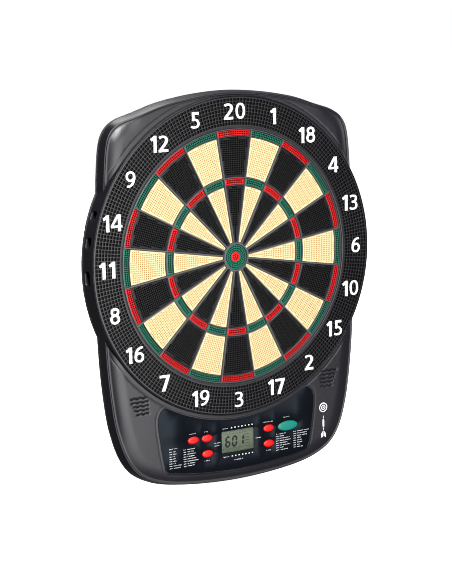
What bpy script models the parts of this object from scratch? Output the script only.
# Electronic dartboard for soft-tip darts: moulded housing with a round target
# of sprung segments in a spider, a number ring, a control panel with display
# and buttons, and the electronics behind them.
#
# Frame: metres, +Z up. The board hangs upright on a wall. The wall is the plane
# y = 0 and the target faces -Y. The origin is on the bull's axis at the rear face.
import bpy
import bmesh
import math
from mathutils import Matrix, Vector

# ------------------------------------------------------------------ dimensions
R = 0.1715            # outer radius of the double ring, the unit of the layout
MM = 0.001
GAP = 0.0003          # clearance between neighbouring pieces

# depths (y); the front is towards -Y
Y_PAD = -0.0240       # face of the target segments
Y_RIB = -0.0260       # front edge of the spider's ribs
Y_RING = -0.0270      # face of the number ring
Y_COLLAR = -0.0272    # front of the housing's round collar
Y_FACE = -0.0231      # face of the housing around the control panel
Y_SEAM = -0.0070      # parting plane of housing and rear cover
WALL = 0.0022         # housing wall
SKIN = 0.0024         # housing face

# target layout, as fractions of R
SPOKE = math.radians(18.0)
NUMBERS = [20, 1, 18, 4, 13, 6, 10, 15, 2, 17, 3, 19, 7, 16, 8, 11, 14, 9, 12, 5]
R_BULL_IN = 0.038
R_BULL_OUT = 0.097
PAD_ROWS = [(0.119, 0.563, 1, 2), (0.577, 0.622, 2, 2), (0.639, 0.947, 2, 3), (0.960, 1.000, 3, 3)]
CELL_ROWS = [(0.1165, 0.5655, 1, 2), (0.5745, 0.6245, 2, 2), (0.6365, 0.9495, 2, 3), (0.9575, 1.0030, 3, 3)]
PAD_EDGE = 0.0095     # half the gap between neighbouring segments
CELL_EDGE = 0.0070    # half the width of a spoke
R_RIM_IN = 1.0030
R_RIM_OUT = 1.0130
R_RING_IN = 1.0160
R_RING_OUT = 1.2620
R_COLLAR_IN = 1.2655
R_COLLAR_OUT = 1.2830
R_LEDGE = 1.2150
DRAFT = 0.0170           # the walls flare towards the rear by this much
DRAFT_ROUND = 0.0085     # and the round bulge by this
Y_DRAFT = -0.0073        # where the flare ends

N_ROUND = 60          # sides of the large circles
PAD_TRAVEL = 0.0010
KEY_TRAVEL = 0.0008

# right half of the housing's outline without the round bulge, top to bottom
OUTLINE = [(0.0, 1.293), (0.30, 1.274), (0.60, 1.224), (0.82, 1.156), (0.978, 1.106), (1.062, 1.042),
           (1.108, 0.935), (1.132, 0.705), (1.146, 0.350), (1.160, 0.0), (1.163, -0.30), (1.158, -0.57),
           (1.142, -0.85), (1.108, -1.15), (1.0695, -1.333), (1.007, -1.507), (0.915, -1.637),
           (0.780, -1.718), (0.60, -1.770), (0.33, -1.804), (0.0, -1.818)]

# control panel, as fractions of R
LCD = (-0.156, 0.150, -1.581, -1.402)
RED_KEYS = {"button_left_outer": (-0.419, -1.432), "button_left_upper": (-0.2915, -1.434),
            "button_left_lower": (-0.2895, -1.561), "button_right_upper": (0.2895, -1.434),
            "button_right_lower": (0.2895, -1.561)}
RED_SIZE = (0.0500, 0.0300)      # half axes
BIG_KEY = (0.475, -1.439)
BIG_SIZE = (0.0950, 0.0405)
PANEL_ARC = 1.312                # radius of the panel's upper edge
SPEAKER = (-0.890, -1.085)
SCREWS = [(-0.985, 0.985), (0.985, 0.985), (-1.080, -0.80), (1.080, -0.80),
          (-1.010, -1.33), (1.010, -1.33), (-0.62, -1.695), (0.62, -1.695)]
SLOT_ANGLES = [(-92.7, 0.0200), (-80.6, 0.0155), (-71.2, 0.0135)]   # dart storage, angle and length
CELL_R = 0.00725
CELL_L = 0.0505
CELL_X = [0.6632, 0.7500, 0.8368]
CELL_Z = -1.330
CELL_Y = -0.0100

# ------------------------------------------------------------------ scene
for o in list(bpy.data.objects):
    bpy.data.objects.remove(o, do_unlink=True)
PARTS = bpy.data.collections.new("electronic_dartboard")
CUTS = bpy.data.collections.new("cutters")
bpy.context.scene.collection.children.link(PARTS)
bpy.context.scene.collection.children.link(CUTS)


def material(name, rgb, rough=0.5, metal=0.0):
    m = bpy.data.materials.get(name)
    if m is None:
        m = bpy.data.materials.new(name)
        m.use_nodes = True
        b = m.node_tree.nodes["Principled BSDF"]
        b.inputs["Base Color"].default_value = (rgb[0], rgb[1], rgb[2], 1.0)
        b.inputs["Roughness"].default_value = rough
        b.inputs["Metallic"].default_value = metal
        m.diffuse_color = (rgb[0], rgb[1], rgb[2], 1.0)
    return m


CHARCOAL = material("charcoal_plastic", (0.055, 0.055, 0.062), 0.5)
REARGREY = material("rear_plastic", (0.035, 0.035, 0.04), 0.55)
RINGGREY = material("ring_plastic", (0.05, 0.05, 0.055), 0.45)
SPIDER = material("spider_plastic", (0.07, 0.07, 0.08), 0.4)
BLACKPAD = material("black_segment", (0.012, 0.012, 0.013), 0.5)
CREAMPAD = material("cream_segment", (0.90, 0.70, 0.36), 0.5)
REDPAD = material("red_segment", (0.75, 0.02, 0.02), 0.45)
GREENPAD = material("green_segment", (0.02, 0.20, 0.13), 0.45)
FILM = material("panel_film", (0.012, 0.018, 0.03), 0.2)
WINDOW = material("display_window", (0.33, 0.38, 0.28), 0.1)
DISPLAY = material("display_glass", (0.30, 0.36, 0.26), 0.2)
REDKEY = material("red_button", (0.85, 0.03, 0.02), 0.3)
TEALKEY = material("teal_button", (0.03, 0.36, 0.28), 0.3)
SILICONE = material("silicone", (0.35, 0.36, 0.37), 0.7)
BOARD = material("circuit_board", (0.02, 0.16, 0.07), 0.5)
MEMBRANE = material("membrane", (0.62, 0.58, 0.42), 0.35)
FOAM = material("foam", (0.05, 0.05, 0.05), 0.95)
HARDBOARD = material("backing", (0.16, 0.10, 0.06), 0.8)
STEEL = material("steel", (0.55, 0.55, 0.56), 0.3, 1.0)
CELLCOAT = material("cell_jacket", (0.06, 0.10, 0.20), 0.35)
CONE = material("speaker_cone", (0.03, 0.03, 0.03), 0.7)
WIRE = material("wire", (0.45, 0.02, 0.02), 0.5)
RIBBON = material("ribbon", (0.55, 0.56, 0.58), 0.4)


# ------------------------------------------------------------------ helpers
def link(name, mesh, coll, mat=None):
    o = bpy.data.objects.new(name, mesh)
    coll.objects.link(o)
    if mat is not None:
        mesh.materials.clear()
        mesh.materials.append(mat)
    return o


def baked(obj):
    """The evaluated mesh of an object as a plain mesh, in world space."""
    bpy.context.view_layer.update()
    dg = bpy.context.evaluated_depsgraph_get()
    me = bpy.data.meshes.new_from_object(obj.evaluated_get(dg))
    me.transform(obj.matrix_world)
    return me


def drop(obj):
    bpy.data.objects.remove(obj, do_unlink=True)


def cutter(name, mesh):
    o = link(name, mesh, CUTS)
    o.hide_render = True
    o.display_type = "WIRE"
    return o


def flat(name, outlines, y0, y1):
    """A solid from closed outlines in the XZ plane: a 2D curve with an extrude,
    made into a welded mesh between the planes y0 and y1."""
    cu = bpy.data.curves.new(name, "CURVE")
    cu.dimensions = "2D"
    cu.fill_mode = "BOTH"
    cu.extrude = abs(y1 - y0) / 2
    for pts in outlines:
        sp = cu.splines.new("POLY")
        sp.points.add(len(pts) - 1)
        for p, (x, z) in zip(sp.points, pts):
            p.co = (x, z, 0.0, 1.0)
        sp.use_cyclic_u = True
    o = bpy.data.objects.new(name, cu)
    CUTS.objects.link(o)
    o.rotation_euler = (math.pi / 2, 0, 0)
    o.location = (0, (y0 + y1) / 2, 0)
    me = baked(o)
    drop(o)
    bm = bmesh.new()
    bm.from_mesh(me)
    bmesh.ops.remove_doubles(bm, verts=bm.verts, dist=1e-6)
    bmesh.ops.recalc_face_normals(bm, faces=bm.faces)
    bm.to_mesh(me)
    bm.free()
    return me


def disc(r, y0, y1, x=0.0, z=0.0, n=N_ROUND, r2=None, sx=1.0, sz=1.0):
    """A cylinder, or a cone with r2 at y1, along Y about (x, z)."""
    bm = bmesh.new()
    bmesh.ops.create_cone(bm, cap_ends=True, cap_tris=False, segments=n, radius1=r,
                          radius2=r if r2 is None else r2, depth=abs(y1 - y0))
    # the cone's base is at the plane y0 and its top at y1
    turn = Matrix.Rotation(-math.pi / 2 if y1 > y0 else math.pi / 2, 4, "X")
    bmesh.ops.transform(bm, verts=bm.verts,
                        matrix=Matrix.Translation((x, (y0 + y1) / 2, z)) @ Matrix.Diagonal((sx, 1, sz, 1)) @ turn)
    me = bpy.data.meshes.new("disc")
    bm.to_mesh(me)
    bm.free()
    return me


def block(x0, x1, y0, y1, z0, z1):
    bm = bmesh.new()
    bmesh.ops.create_cube(bm, size=1.0)
    bmesh.ops.transform(bm, verts=bm.verts, matrix=Matrix.Translation(
        ((x0 + x1) / 2, (y0 + y1) / 2, (z0 + z1) / 2)) @ Matrix.Diagonal((abs(x1 - x0), abs(y1 - y0), abs(z1 - z0), 1)))
    me = bpy.data.meshes.new("block")
    bm.to_mesh(me)
    bm.free()
    return me


def together(meshes):
    """Separate solids kept in one mesh, to serve as one cutter."""
    bm = bmesh.new()
    for me in meshes:
        bm.from_mesh(me)
    out = bpy.data.meshes.new("together")
    bm.to_mesh(out)
    bm.free()
    return out


def combine(base, tool, op):
    a = link("a", base, CUTS)
    b = cutter("b", tool)
    m = a.modifiers.new("cut", "BOOLEAN")
    m.operation = op
    m.solver = "EXACT"
    m.object = b
    me = baked(a)
    drop(a)
    drop(b)
    return me


def minus(base, *tools):
    for t in tools:
        base = combine(base, t, "DIFFERENCE")
    return base


def plus(base, *tools):
    for t in tools:
        base = combine(base, t, "UNION")
    return base


def loft(rings):
    """A solid through closed rings of equal point count, capped at both ends."""
    bm = bmesh.new()
    loops = [[bm.verts.new(p) for p in ring] for ring in rings]
    n = len(loops[0])
    for a, b in zip(loops, loops[1:]):
        for i in range(n):
            j = (i + 1) % n
            bm.faces.new((a[i], a[j], b[j], b[i]))
    bm.faces.new(list(reversed(loops[0])))
    bm.faces.new(loops[-1])
    bmesh.ops.recalc_face_normals(bm, faces=bm.faces)
    me = bpy.data.meshes.new("loft")
    bm.to_mesh(me)
    bm.free()
    return me


def clean(me, angle=35.0, weld=2e-6):
    """Welds slivers left by cuts, dissolves flat seams and shades by angle."""
    bm = bmesh.new()
    bm.from_mesh(me)
    bmesh.ops.remove_doubles(bm, verts=bm.verts, dist=weld)
    bmesh.ops.dissolve_degenerate(bm, edges=bm.edges, dist=weld)
    bmesh.ops.dissolve_limit(bm, angle_limit=math.radians(0.4), verts=bm.verts, edges=bm.edges, use_dissolve_boundaries=False)
    bmesh.ops.recalc_face_normals(bm, faces=bm.faces)
    bm.to_mesh(me)
    bm.free()
    me.shade_smooth()
    me.set_sharp_from_angle(angle=math.radians(angle))
    return me


def part(name, me, mat, angle=35.0):
    me.name = name
    return link(name, clean(me, angle), PARTS, mat)


def polar(r, deg):
    a = math.radians(deg)
    return (r * R * math.sin(a), r * R * math.cos(a))


def smooth(t):
    t = max(0.0, min(1.0, t))
    return t * t * (3 - 2 * t)


# ------------------------------------------------------------------ outline
def spline(points, steps):
    """Catmull-Rom curve through the points of a mirrored half outline."""
    full = points + [(-x, z) for x, z in reversed(points[1:-1])]
    n = len(full)
    out = []
    for i in range(n):
        p0, p1, p2, p3 = (Vector(full[(i + k - 1) % n]) for k in range(4))
        for s in range(steps):
            t = s / steps
            out.append(0.5 * ((2 * p1) + (p2 - p0) * t + (2 * p0 - 5 * p1 + 4 * p2 - p3) * t * t
                              + (3 * p1 - p0 - 3 * p2 + p3) * t ** 3))
    return out


SHIELD = spline(OUTLINE, 2)


def inset(d):
    """The outline moved inwards by d (fraction of R), in metres."""
    n = len(SHIELD)
    out = []
    for i in range(n):
        t = (SHIELD[(i + 1) % n] - SHIELD[i - 1]).normalized()
        out.append(((SHIELD[i].x + t.y * d) * R, (SHIELD[i].y - t.x * d) * R))
    return out


def rim_depth(x, z):
    """Front edge of the perimeter, relative to the segments' face, as a fraction of R:
    level with the target at the top, falling back along the sides."""
    x = abs(x)
    if z > 0:
        return -0.035 * smooth((x - 0.80) / 0.28)
    return -0.020 - 0.015 * smooth((z + 1.60) / 0.45)


def rim_y(i):
    p = SHIELD[i]
    return Y_PAD - rim_depth(p.x, p.y) * R


def ring_at(d, y, step=1):
    """One loop of a loft along the inset outline; step 2 takes every other point."""
    pts = inset(d)
    return [Vector((pts[i][0], y(i) if callable(y) else y, pts[i][1])) for i in range(0, len(pts), step)]


def edge_distance(x, z):
    return min((Vector((x, z)) - p).length for p in SHIELD)


def face_y(d, y_edge):
    """Housing face at a distance d inside the outline."""
    if d < 0.05:
        return y_edge + (Y_FACE - y_edge) * 0.6 * d / 0.05
    if d < 0.11:
        return y_edge + (Y_FACE - y_edge) * (0.6 + 0.4 * (d - 0.05) / 0.06)
    return Y_FACE


def sector(r0, r1, edge, n0, n1):
    """Outline of a segment about the vertical, with sides parallel to the spokes."""
    a0 = SPOKE / 2 - math.asin(edge / r0)
    a1 = SPOKE / 2 - math.asin(edge / r1)
    pts = [(r1 * R * math.sin(-a1 + 2 * a1 * i / n1), r1 * R * math.cos(-a1 + 2 * a1 * i / n1)) for i in range(n1 + 1)]
    pts += [(r0 * R * math.sin(a0 - 2 * a0 * i / n0), r0 * R * math.cos(a0 - 2 * a0 * i / n0)) for i in range(n0 + 1)]
    return pts


def spun(pts, ang):
    c, s = math.cos(ang), math.sin(ang)
    return [(x * c + z * s, -x * s + z * c) for x, z in pts]


# ------------------------------------------------------------------ front housing
outer = loft([ring_at(-DRAFT, -0.004), ring_at(-DRAFT, Y_DRAFT), ring_at(0.0, rim_y),
              ring_at(0.05, lambda i: face_y(0.05, rim_y(i))),
              ring_at(0.11, lambda i: Y_FACE)])
collar = loft([[Vector((r * R * math.sin(a), y, r * R * math.cos(a))) for a in
                [2 * math.pi * k / N_ROUND for k in range(N_ROUND)]]
               for r, y in ((R_COLLAR_OUT + DRAFT_ROUND, -0.0045), (R_COLLAR_OUT + DRAFT_ROUND, Y_DRAFT),
                            (R_COLLAR_OUT, Y_COLLAR + 0.0022), (R_COLLAR_OUT - 0.009, Y_COLLAR))])
w = WALL / R
hollow = loft([ring_at(w - DRAFT, -0.002, 2), ring_at(w - DRAFT, Y_DRAFT, 2), ring_at(w, lambda i: rim_y(i) + SKIN, 2),
               ring_at(0.05 + w * 0.6, lambda i: face_y(0.05, rim_y(i)) + SKIN, 2),
               ring_at(0.11 + w * 0.2, lambda i: Y_FACE + SKIN, 2)])
drum = disc(R_COLLAR_OUT * R - WALL, -0.001, -0.0214, n=48)
body = plus(outer, collar)
body = minus(body, hollow, drum)
body = minus(body, block(-0.5, 0.5, Y_SEAM, 0.01, -0.5, 0.5))
body = minus(body, disc(R_COLLAR_IN * R, -0.0236, -0.03), disc(R_LEDGE * R, -0.018, -0.028))
# screw bosses behind the face
for k, (x, z) in enumerate(SCREWS):
    d = edge_distance(x, z)
    i = min(range(len(SHIELD)), key=lambda q: (Vector((x, z)) - SHIELD[q]).length)
    top = face_y(d, rim_y(i)) + 0.0012
    body = plus(body, disc(0.0034, -0.0073, top, x * R, z * R, 8))
# panel recess, key openings and display opening


def panel_outline(grow):
    """Outline of the control film: upper edge concentric with the target, rounded corners."""
    r = PANEL_ARC - grow
    pts = []
    n = 16
    for k in range(n + 1):                      # upper edge, left to right
        ang = math.radians(-29.9 + 59.8 * k / n)
        pts.append((r * math.sin(ang), -r * math.cos(ang)))
    g = grow
    pts += [(0.690 + g * 0.6, -1.150 + g), (0.722 + g, -1.190 + g * 0.5), (0.733 + g, -1.240), (0.722 + g, -1.360), (0.700 + g, -1.500),
            (0.682 + g, -1.600), (0.672 + g * 0.8, -1.640 - g * 0.4), (0.640, -1.664 - g), (0.500, -1.690 - g), (0.350, -1.708 - g),
            (0.180, -1.721 - g), (0.0, -1.726 - g)]
    half = [p for p in pts if p[0] >= -1e-9]
    left = [(-x, z) for x, z in reversed(half) if x > 1e-6]
    return [(x * R, z * R) for x, z in half + left]


def key_hole(size, at, grow, y0, y1, n=16):
    return disc(R, y0, y1, at[0] * R, at[1] * R, n, sx=size[0] + grow, sz=size[1] + grow)


body = minus(body, flat("recess", [panel_outline(0.003)], -0.0228, -0.0300))
holes = [key_hole(RED_SIZE, p, 0.004, -0.030, -0.018) for p in RED_KEYS.values()]
holes.append(key_hole(BIG_SIZE, BIG_KEY, 0.004, -0.030, -0.018))
body = minus(body, together(holes), block((LCD[0] - 0.012) * R, (LCD[1] + 0.012) * R, -0.030, -0.018,
                                         (LCD[2] - 0.012) * R, (LCD[3] + 0.012) * R))
# speaker grilles
slots = []
for s in (-1, 1):
    for k in range(5):
        z = -1.027 - 0.034 * k
        x1 = 0.965 - 0.012 * k
        slots.append(block(s * 0.812 * R, s * x1 * R, -0.030, -0.012, (z - 0.005) * R, (z + 0.005) * R))
body = minus(body, together(slots))
# dart storage slots in the left bulge
slots = []
for deg, length in SLOT_ANGLES:
    me = block(-length / 2, length / 2, -0.0208, -0.0094, -0.007, 0.007)
    a = math.radians(deg)
    x, z = polar(R_COLLAR_OUT, deg)
    me.transform(Matrix.Translation((x, 0, z)) @ Matrix.Rotation(a, 4, "Y"))
    slots.append(me)
body = minus(body, together(slots))
body = minus(body, together([disc(0.0016, -0.005, -0.0170, x * R, z * R, 8) for x, z in SCREWS]))
part("front_housing", body, CHARCOAL)

# ------------------------------------------------------------------ rear cover
back = loft([ring_at(-DRAFT, -0.0067), ring_at(-DRAFT, -0.0012), ring_at(0.007 - DRAFT, 0.0)])
bulge = loft([[Vector((r * R * math.sin(a), y, r * R * math.cos(a))) for a in
               [2 * math.pi * k / N_ROUND for k in range(N_ROUND)]]
              for r, y in ((R_COLLAR_OUT + DRAFT_ROUND, -0.0067), (R_COLLAR_OUT + DRAFT_ROUND, -0.0012),
                            (R_COLLAR_OUT + DRAFT_ROUND - 0.007, 0.0))])
rear = plus(back, bulge)
rear = minus(rear, loft([ring_at(w - DRAFT, -0.009, 2), ring_at(w - DRAFT, -0.0024, 2)]), disc(R_COLLAR_OUT * R - WALL, -0.009, -0.0024, n=48))
# ribs that bear on the backing plate
for r in (1.05,):
    rear = plus(rear, minus(disc(r * R + 0.0008, -0.0066, -0.0018, n=32), disc(r * R - 0.0008, -0.008, -0.001, n=32)))
for k in range(4):
    me = block(-0.0008, 0.0008, -0.0064, -0.0016, 0.10 * R, 1.20 * R)
    me.transform(Matrix.Rotation(math.radians(45 + 90 * k), 4, "Y"))
    rear = plus(rear, me)
# battery tray, open to the back
bx0, bx1, bz0, bz1 = 0.618 * R, 0.882 * R, -1.495 * R, -1.165 * R
rear = plus(rear, block(bx0 - 0.0014, bx1 + 0.0014, -0.0188, -0.0016, bz0 - 0.0014, bz1 + 0.0014))
rear = minus(rear, block(bx0, bx1, -0.0176, 0.002, bz0, bz1))
# screw cups
cups, bores, sinks = [], [], []
for x, z in SCREWS:
    rear = plus(rear, disc(0.0048, -0.0069, -0.0014, x * R, z * R, 10))
    sinks.append(disc(0.0036, -0.0050, 0.001, x * R, z * R, 10))
    bores.append(disc(0.0017, -0.008, -0.004, x * R, z * R, 8))
rear = minus(rear, together(sinks))
rear = minus(rear, together(bores))
# keyhole hangers
for x, z in ((0.0, 0.86), (-0.62, -0.86), (0.62, -0.86)):
    rear = minus(rear, disc(0.0045, -0.004, 0.002, x * R, z * R, 16))
    rear = minus(rear, block(x * R - 0.0022, x * R + 0.0022, -0.004, 0.002, z * R + 0.001, z * R + 0.012))
part("rear_cover", rear, REARGREY)

# battery door: a flat lid hinged along its lower edge on the rear face
door = block(bx0 + 0.0004, bx1 - 0.0004, -0.0022, -0.0002, bz0 + 0.0004, bz1 - 0.0004)
door = plus(door, block((bx0 + bx1) / 2 - 0.006, (bx0 + bx1) / 2 + 0.006, -0.0026, -0.0015, bz1 - 0.006, bz1 - 0.0016))
DOOR_Z = bz0 + 0.0004
DOOR_Y = -0.0002
o = part("battery_door", door, REARGREY)
o.data.transform(Matrix.Translation((0, -DOOR_Y, -DOOR_Z)))
o.location = (0, DOOR_Y, DOOR_Z)

# ------------------------------------------------------------------ number ring
ring = minus(disc(R_RING_OUT * R, Y_RING, -0.0240), disc(R_RING_IN * R, -0.030, -0.020))
part("number_ring", ring, RINGGREY)

# ------------------------------------------------------------------ spider
spider = disc(R_RIM_OUT * R, Y_RIB, -0.0160)
cells = []
for r0, r1, n0, n1 in CELL_ROWS:
    base = sector(r0, r1, CELL_EDGE, n0, n1)
    for k in range(20):
        cells.append(spun(base, SPOKE * k))
spider = minus(spider, flat("cells", cells, -0.030, -0.012))
spider = minus(spider, disc(0.0995 * R, -0.030, -0.012, n=24))
flange = minus(disc(1.205 * R, -0.0236, -0.0216), disc(1.008 * R, -0.030, -0.010))
spider = plus(spider, flange)
for k in range(6):
    x, z = polar(1.11, 30 + 60 * k)
    spider = plus(spider, disc(0.004, -0.0222, -0.0094, x, z, 8))
part("spider", spider, SPIDER)

# ------------------------------------------------------------------ target segments
bed = flat("bed", [sector(0.125, 0.998, 0.0115, 1, 3)], -0.0155, -0.0131)
for r0, r1, n0, n1 in PAD_ROWS:
    bed = plus(bed, flat("pad", [sector(max(r0, 0.1195), r1, PAD_EDGE, n0, n1)], Y_PAD, -0.0149))
bed = clean(bed)
bed.name = "segment_bed"
for k, number in enumerate(NUMBERS):
    mesh = bed.copy()
    o = link("segments_%02d" % number, mesh, PARTS, BLACKPAD if k % 2 == 0 else CREAMPAD)
    o.rotation_euler = (0, SPOKE * k, 0)

bull = plus(disc(R_BULL_OUT * R, Y_PAD, -0.0149, n=24), disc(0.112 * R, -0.0155, -0.0131, n=24))
part("bull_outer", minus(bull, disc(0.0412 * R, -0.03, -0.01, n=20)), GREENPAD)
part("bull_inner", disc(R_BULL_IN * R, Y_PAD, -0.0131, n=20), REDPAD)

# ------------------------------------------------------------------ sensing stack
part("contact_membrane", disc(1.02 * R, -0.0119, -0.0114, n=48), MEMBRANE)
part("foam_mat", disc(1.02 * R, -0.0111, -0.0093, n=48), FOAM)
part("backing_plate", disc(1.18 * R, -0.0090, -0.0070, n=48), HARDBOARD)

# ------------------------------------------------------------------ control panel
film = flat("film", [panel_outline(0.0)], -0.0233, -0.0229)
holes = [key_hole(RED_SIZE, p, 0.0024, -0.030, -0.018) for p in RED_KEYS.values()]
holes.append(key_hole(BIG_SIZE, BIG_KEY, 0.0024, -0.030, -0.018))
film = minus(film, together(holes), block(LCD[0] * R, LCD[1] * R, -0.030, -0.018, LCD[2] * R, LCD[3] * R))
part("control_film", film, FILM)
part("display_window", block(LCD[0] * R + GAP, LCD[1] * R - GAP, -0.0231, -0.0222, LCD[2] * R + GAP, LCD[3] * R - GAP), WINDOW)
lcd = block((LCD[0] - 0.008) * R, (LCD[1] + 0.008) * R, -0.0218, -0.0178, (LCD[2] - 0.008) * R, (LCD[3] + 0.008) * R)
part("display_module", lcd, DISPLAY)


def key(name, at, size, mat):
    me = loft([[Vector((at[0] * R + (size[0] * k + g) * R * math.cos(a), y, at[1] * R + (size[1] * k + g) * R * math.sin(a)))
                for a in [2 * math.pi * q / 18 for q in range(18)]]
               for k, g, y in ((1, 0.007, -0.0195), (1, 0.007, -0.0203), (1, 0.0, -0.0203), (1, 0.0, -0.0238), (0.78, 0.0, -0.0244))])
    o = part(name, me, mat, 50)
    o.data.transform(Matrix.Translation((-at[0] * R, 0, -at[1] * R)))
    o.location = (at[0] * R, 0, at[1] * R)


for name, at in RED_KEYS.items():
    key(name, at, RED_SIZE, REDKEY)
key("button_next", BIG_KEY, BIG_SIZE, TEALKEY)

mat_ = minus(block(-0.50 * R, 0.585 * R, -0.0184, -0.0176, -1.615 * R, -1.375 * R),
             block((LCD[0] - 0.014) * R, (LCD[1] + 0.014) * R, -0.03, -0.01, (LCD[2] - 0.014) * R, (LCD[3] + 0.014) * R))
part("keypad_mat", mat_, SILICONE)
board = block(-0.60 * R, 0.595 * R, -0.0172, -0.0156, -1.645 * R, -1.355 * R)
board = plus(board, block(-0.10 * R, 0.02 * R, -0.0160, -0.0138, -1.55 * R, -1.45 * R),
             block(-0.42 * R, -0.34 * R, -0.0160, -0.0120, -1.46 * R, -1.42 * R))
part("main_board", board, BOARD)

# ------------------------------------------------------------------ speaker
sx, sz = SPEAKER[0] * R, SPEAKER[1] * R
horn = loft([[Vector((sx + r * math.cos(a), y, sz + r * math.sin(a))) for a in [2 * math.pi * q / 18 for q in range(18)]]
             for r, y in ((0.0138, -0.0200), (0.0138, -0.0188), (0.0080, -0.0160), (0.0080, -0.0128))])
part("speaker", horn, CONE)

# ------------------------------------------------------------------ batteries
for i, x in enumerate(CELL_X):
    z0, z1 = CELL_Z * R - CELL_L / 2, CELL_Z * R + CELL_L / 2
    up = 1 if i % 2 == 0 else -1
    rings = [(CELL_R, -0.5), (CELL_R, 0.5 - 0.0014 / CELL_L), (0.0027, 0.5 - 0.0014 / CELL_L), (0.0027, 0.5)]
    me = loft([[Vector((x * R + r * math.cos(a), CELL_Y + r * math.sin(a), CELL_Z * R + up * t * CELL_L))
                for a in [2 * math.pi * q / 16 for q in range(16)]] for r, t in rings])
    part("battery_%d" % (i + 1), me, CELLCOAT)

for name, zc, s in (("battery_contacts_upper", bz1 - 0.0005, -1), ("battery_contacts_lower", bz0 + 0.0005, 1)):
    strip = block(bx0 + 0.0008, bx1 - 0.0008, -0.0160, -0.0050, zc - 0.0002, zc + 0.0002)
    for i, x in enumerate(CELL_X):
        spring = (i % 2 == 0) == (s > 0)
        gap_to_cell = abs((CELL_Z * R + (-s) * CELL_L / 2 * 1.0) - zc) - 0.0003
        n = 10
        r0, r1, h = (0.0034, 0.0022, gap_to_cell) if spring else (0.0030, 0.0024, gap_to_cell)
        me = bmesh.new()
        bmesh.ops.create_cone(me, cap_ends=True, segments=n, radius1=r0, radius2=r1, depth=h)
        flip = Matrix.Identity(4) if s > 0 else Matrix.Rotation(math.pi, 4, "X")
        bmesh.ops.transform(me, verts=me.verts, matrix=Matrix.Translation((x * R, CELL_Y, zc + s * h / 2)) @ flip)
        cone = bpy.data.meshes.new("cone")
        me.to_mesh(cone)
        me.free()
        strip = plus(strip, cone)
    part(name, strip, STEEL)


# ------------------------------------------------------------------ leads
def tube(name, pts, r, mat):
    cu = bpy.data.curves.new(name, "CURVE")
    cu.dimensions = "3D"
    cu.bevel_depth = r
    cu.bevel_resolution = 1
    cu.use_fill_caps = True
    sp = cu.splines.new("POLY")
    sp.points.add(len(pts) - 1)
    for p, c in zip(sp.points, pts):
        p.co = (c[0], c[1], c[2], 1.0)
    o = bpy.data.objects.new(name, cu)
    CUTS.objects.link(o)
    me = baked(o)
    drop(o)
    bm = bmesh.new()
    bm.from_mesh(me)
    bmesh.ops.remove_doubles(bm, verts=bm.verts, dist=1e-6)
    bm.to_mesh(me)
    bm.free()
    return part(name, me, mat, 60)


tube("speaker_lead", [(-0.900 * R, -0.0118, -1.13 * R), (-0.86 * R, -0.0116, -1.20 * R), (-0.76 * R, -0.0118, -1.33 * R),
                      (-0.66 * R, -0.0125, -1.42 * R), (-0.56 * R, -0.0146, -1.46 * R)], 0.0006, WIRE)
tube("battery_lead", [(0.598 * R, -0.0105, -1.28 * R), (0.575 * R, -0.0110, -1.32 * R), (0.55 * R, -0.0125, -1.38 * R),
                      (0.52 * R, -0.0146, -1.42 * R)], 0.0006, WIRE)

# ribbon tail from the membrane down to the main board
half = 0.013
pts = [(-0.0106 - 0.0013, -1.028), (-0.0119, -1.10), (-0.0122, -1.22), (-0.0136, -1.34), (-0.0150, -1.40)]
bm = bmesh.new()
rows = []
for y, z in pts:
    rows.append([bm.verts.new((s * half, y, z * R)) for s in (-1, 1)])
for a, b in zip(rows, rows[1:]):
    bm.faces.new((a[0], a[1], b[1], b[0]))
me = bpy.data.meshes.new("ribbon")
bm.to_mesh(me)
bm.free()
o = link("ribbon_cable", me, PARTS, RIBBON)
sol = o.modifiers.new("thickness", "SOLIDIFY")
sol.thickness = 0.0003
sol.offset = 0.0

# ------------------------------------------------------------------ screws
for k, (x, z) in enumerate(SCREWS):
    me = loft([[Vector((x * R + r * math.cos(a), y, z * R + r * math.sin(a))) for a in [2 * math.pi * q / 8 for q in range(8)]]
               for r, y in ((0.0012, -0.0160), (0.0012, -0.0047), (0.0031, -0.0047), (0.0031, -0.0028))])
    part("screw_%d" % (k + 1), me, STEEL, 40)
